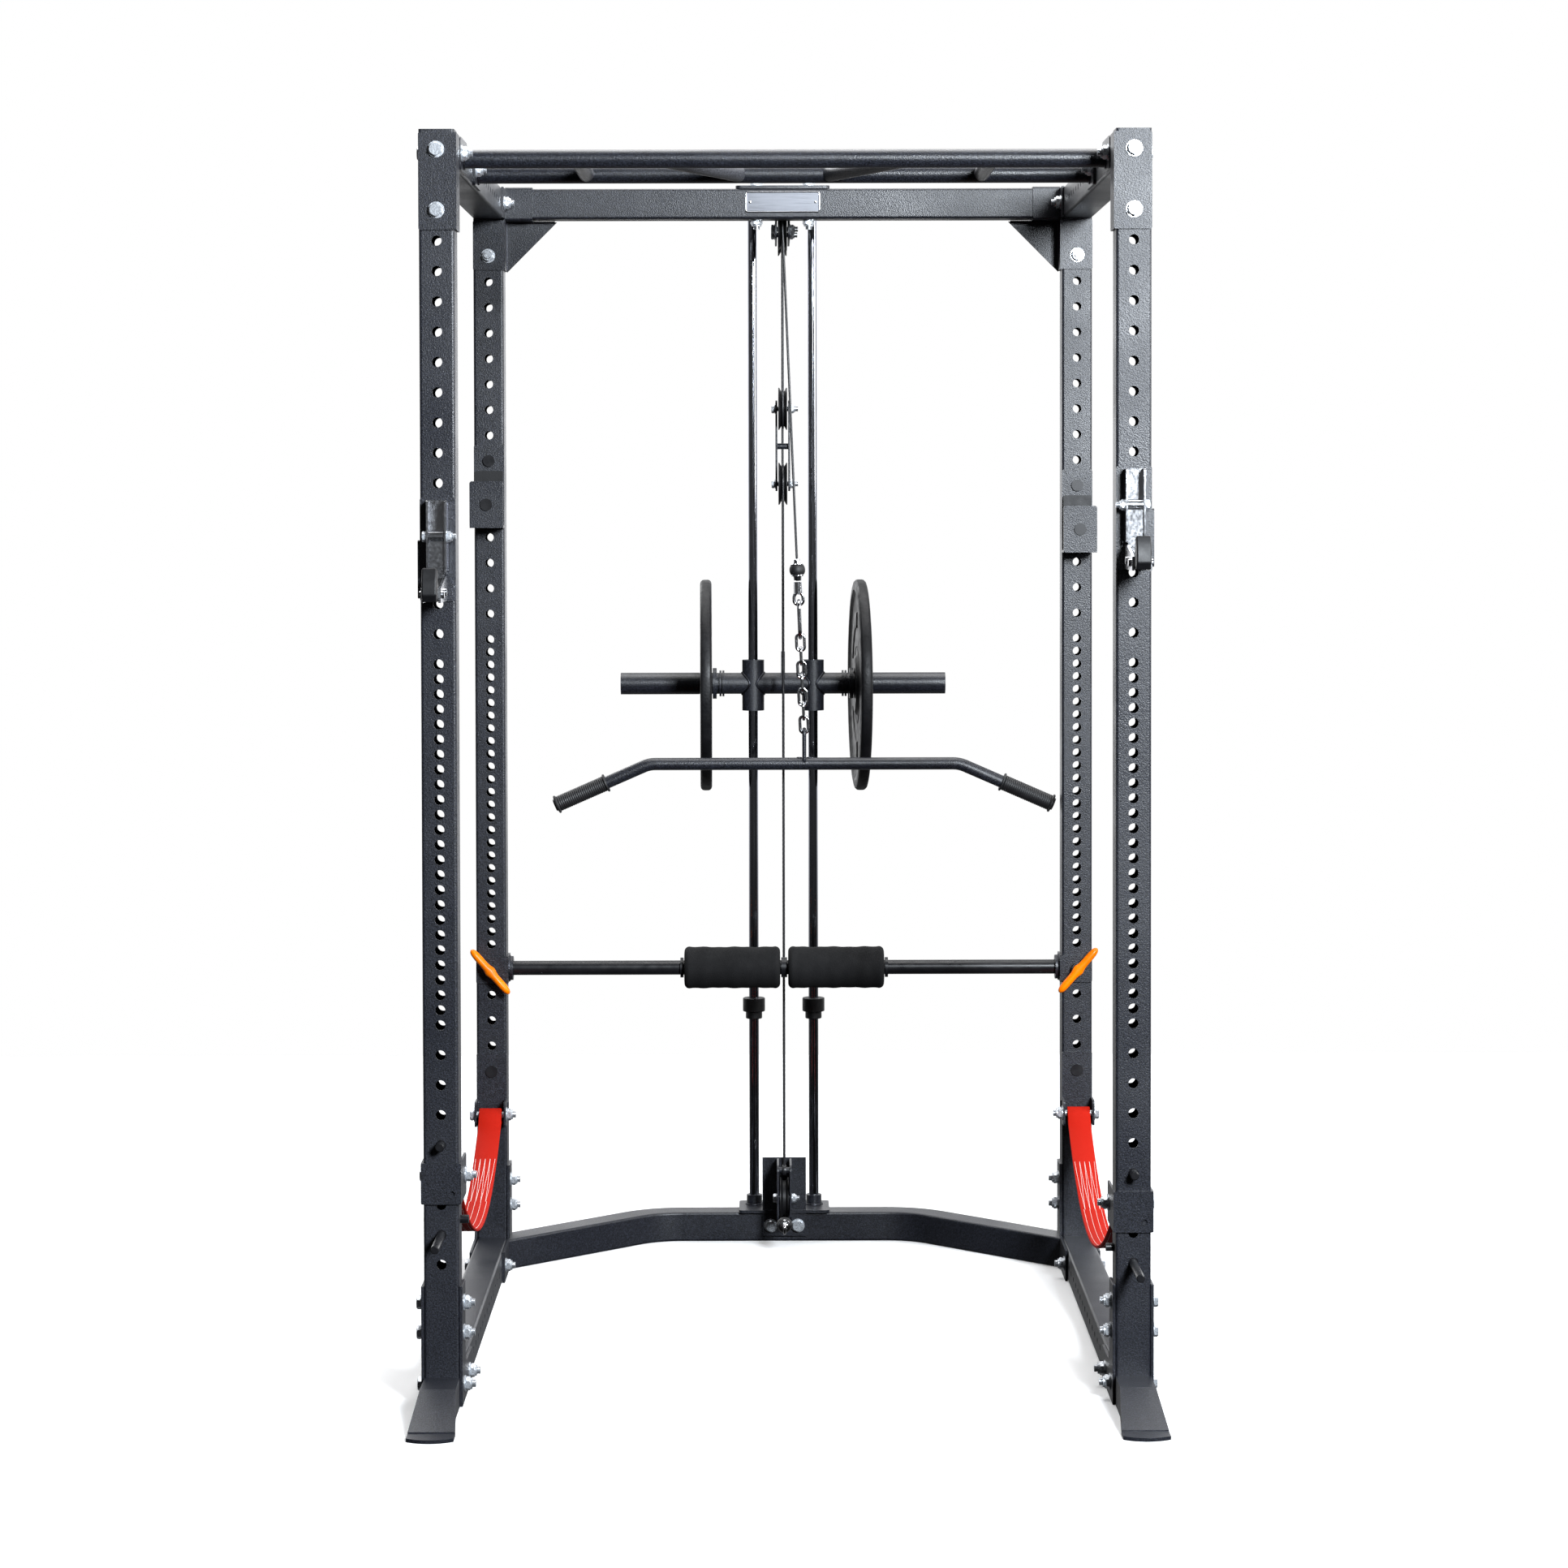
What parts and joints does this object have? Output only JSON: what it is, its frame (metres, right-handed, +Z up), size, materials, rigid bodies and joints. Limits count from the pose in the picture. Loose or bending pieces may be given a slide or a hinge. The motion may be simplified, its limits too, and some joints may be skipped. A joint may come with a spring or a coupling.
{
  "type": "power cage",
  "caption": "Bolted steel power cage with pull-up bars, bar cups, swing hooks, safety straps, a leg hold-down and a plate-loaded pulldown tower.",
  "frame": {"origin": "on the floor under the middle of the whole footprint", "axes": "+X to the right seen from the front, +Y from the front of the cage to the tower behind it, +Z up"},
  "size_m": [1.26, 1.8921, 2.169],
  "materials": {
    "powder_coat": "fine-textured satin black powder coat",
    "grey_coat": "dull grey coat on the pull-up grips",
    "black_steel": "satin black pins",
    "zinc": "bright zinc plate",
    "chrome_trim": "polished chrome",
    "dark_chrome": "polished guide rods",
    "black_plastic": "dense black plastic",
    "red_webbing": "woven webbing with white stitching",
    "orange_plastic": "glossy moulded handle",
    "foam": "closed-cell foam roller",
    "rubber": "moulded rubber",
    "iron_plate": "coated cast iron",
    "cable": "nylon-coated steel cable"
  },
  "bodies": {
    "root": {"front_left_upright": "powder_coat", "front_right_upright": "powder_coat", "rear_left_upright": "powder_coat", "rear_right_upright": "powder_coat", "upright_caps": "powder_coat", "top_left_beam": "powder_coat", "top_right_beam": "powder_coat", "bottom_left_beam": "powder_coat", "bottom_right_beam": "powder_coat", "rear_top_crossbeam": "powder_coat", "rear_bottom_crossbeam": "powder_coat", "front_top_brackets": "powder_coat", "rear_corner_brackets": "powder_coat", "nameplate": "chrome_trim", "front_pull_up_bar": "powder_coat", "rear_pull_up_bar": "powder_coat", "pull_up_grips": "grey_coat", "base_gussets": "powder_coat", "front_feet": "powder_coat", "hex_bolts": "zinc", "lock_nuts": "zinc", "rack_pins": "black_steel", "j_cups": "powder_coat", "j_cup_liners": "black_plastic", "strap_brackets": "powder_coat", "left_safety_strap": "red_webbing", "right_safety_strap": "red_webbing", "leg_bar": "powder_coat", "leg_bar_brackets": "powder_coat", "hook_mounts": "powder_coat", "hook_channels": "zinc", "guide_rods": "dark_chrome", "tower_top_bracket": "powder_coat", "tower_base": "powder_coat", "rod_bumpers": "rubber", "pulley_block": "powder_coat", "high_cable": "cable", "low_cable": "cable", "low_cable_stop": "rubber"},
    "lat_bar_hanger": {"lat_bar": "powder_coat", "lat_bar_grips": "rubber", "cable_stop": "rubber", "lat_clip": "chrome_trim", "front_cable_run": "cable"},
    "carriage": {"weight_carriage": "powder_coat", "weight_plates": "iron_plate", "carriage_cable_run": "cable"},
    "top_front_wheel": {"top_front_pulley": "black_plastic"},
    "top_rear_wheel": {"top_rear_pulley": "black_plastic"},
    "block_upper_wheel": {"block_upper_pulley": "black_plastic"},
    "block_lower_wheel": {"block_lower_pulley": "black_plastic"},
    "low_wheel": {"low_pulley": "black_plastic"},
    "left_hook": {"left_hook_arm": "zinc", "left_hook_pad": "black_plastic"},
    "right_hook": {"right_hook_arm": "zinc", "right_hook_pad": "black_plastic"},
    "left_roller": {"left_leg_roller": "foam"},
    "right_roller": {"right_leg_roller": "foam"},
    "left_handle": {"left_lock_handle": "orange_plastic"},
    "right_handle": {"right_lock_handle": "orange_plastic"}
  },
  "joints": [
    {"name": "carriage_slide", "type": "slide", "parent": "root", "child": "carriage", "axis": [0, 0, 1], "range_m": [-0.6, 0.3], "deforming": ["carriage_cable_run"]},
    {"name": "lat_bar_slide", "type": "slide", "parent": "root", "child": "lat_bar_hanger", "axis": [-0.0412, 0, 0.9992], "range_m": [-0.3, 0.6], "deforming": ["front_cable_run"]},
    {"name": "top_front_pulley_spin", "type": "hinge", "parent": "root", "child": "top_front_wheel", "pos_m": [0, 0.533, 2.081], "axis": [1, 0, 0], "continuous": true},
    {"name": "top_rear_pulley_spin", "type": "hinge", "parent": "root", "child": "top_rear_wheel", "pos_m": [0, 0.6882, 2.081], "axis": [1, 0, 0], "continuous": true},
    {"name": "block_upper_pulley_spin", "type": "hinge", "parent": "root", "child": "block_upper_wheel", "pos_m": [0, 0.6106, 1.721], "axis": [1, 0, 0], "continuous": true},
    {"name": "block_lower_pulley_spin", "type": "hinge", "parent": "root", "child": "block_lower_wheel", "pos_m": [0, 0.6106, 1.568], "axis": [1, 0, 0], "continuous": true},
    {"name": "low_pulley_spin", "type": "hinge", "parent": "root", "child": "low_wheel", "pos_m": [0, 0.6106, 0.1], "axis": [1, 0, 0], "continuous": true},
    {"name": "left_hook_swing", "type": "hinge", "parent": "root", "child": "left_hook", "pos_m": [-0.585, -0.729, 1.473], "axis": [1, 0, 0], "range_deg": [-75, 0]},
    {"name": "right_hook_swing", "type": "hinge", "parent": "root", "child": "right_hook", "pos_m": [0.585, -0.729, 1.5238], "axis": [1, 0, 0], "range_deg": [-75, 0]},
    {"name": "left_roller_spin", "type": "hinge", "parent": "root", "child": "left_roller", "pos_m": [-0.104, 0.445, 0.5976], "axis": [1, 0, 0], "continuous": true},
    {"name": "right_roller_spin", "type": "hinge", "parent": "root", "child": "right_roller", "pos_m": [0.104, 0.445, 0.5976], "axis": [1, 0, 0], "continuous": true},
    {"name": "left_lock_pull", "type": "slide", "parent": "root", "child": "left_handle", "axis": [0, -1, 0], "range_m": [0, 0.015], "stiffness_N_per_m": 400, "springref_m": -0.01},
    {"name": "right_lock_pull", "type": "slide", "parent": "root", "child": "right_handle", "axis": [0, -1, 0], "range_m": [0, 0.015], "stiffness_N_per_m": 400, "springref_m": -0.01}
  ],
  "couplings": [
    {"joint": "lat_bar_slide", "follows": "carriage_slide", "ratio": -1},
    {"joint": "top_front_pulley_spin", "follows": "carriage_slide", "rad_per_m": 25.773},
    {"joint": "top_rear_pulley_spin", "follows": "carriage_slide", "rad_per_m": 25.773},
    {"joint": "block_upper_pulley_spin", "follows": "carriage_slide", "rad_per_m": -25.773}
  ]
}
